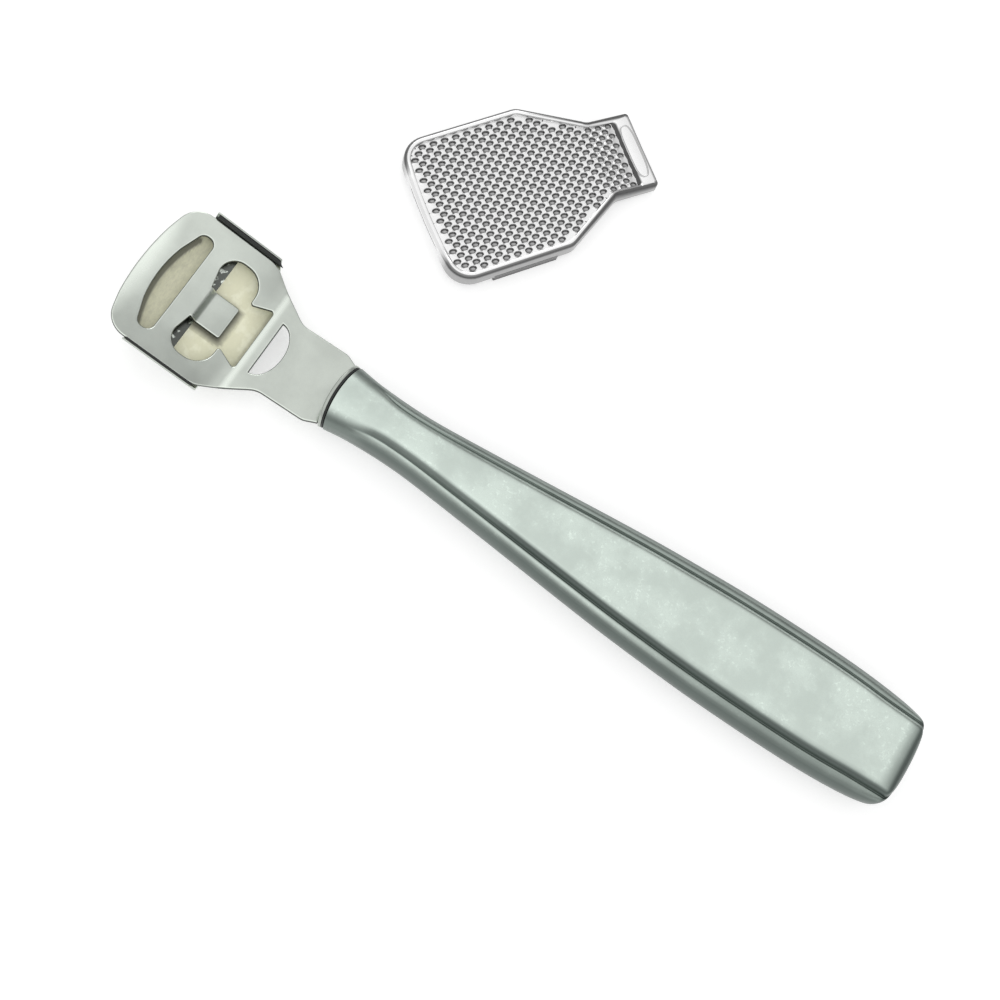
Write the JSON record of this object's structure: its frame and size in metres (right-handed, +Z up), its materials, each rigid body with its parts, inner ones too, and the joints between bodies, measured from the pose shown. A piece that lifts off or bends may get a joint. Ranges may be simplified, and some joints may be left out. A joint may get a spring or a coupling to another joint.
{
  "type": "callus shaver",
  "caption": "Hand-held steel callus shaver with a hollow tapered handle, an arched windowed head over a hinged sole that clamps a wrapped blade, and a loose stamped rasp cap.",
  "frame": {"origin": "on the flat underside of the handle, 72.5 mm from its collar, on the tool's middle line", "axes": "+X along the handle towards its tail, +Y to the side where the rasp cap lies, +Z up"},
  "size_m": [0.152, 0.089, 0.0111],
  "materials": {
    "handle_steel": "satin, fine blasted",
    "plate_steel": "satin",
    "blade_steel": "ground, dark",
    "rasp_steel": "polished",
    "black_rubber": "matte",
    "waxed_paper": "waxed paper",
    "plug_resin": "cast resin"
  },
  "bodies": {
    "handle": {"handle_top_shell": "handle_steel", "handle_bottom_shell": "handle_steel", "collar_ring": "handle_steel", "collar_seal": "black_rubber", "tang_plug": "plug_resin", "head_plate": "plate_steel", "hinge_bracket": "plate_steel", "hinge_pin": "plate_steel", "rasp_plate": "rasp_steel"},
    "sole": {"sole_plate": "plate_steel", "side_pad_left": "black_rubber", "side_pad_right": "black_rubber", "blade": "blade_steel", "blade_wrapper": "waxed_paper"}
  },
  "joints": [
    {"name": "sole_hinge", "type": "hinge", "parent": "handle", "child": "sole", "pos_m": [-0.08867, 0, 0.00224], "axis": [0, -1, 0], "range_deg": [0, 40]}
  ]
}
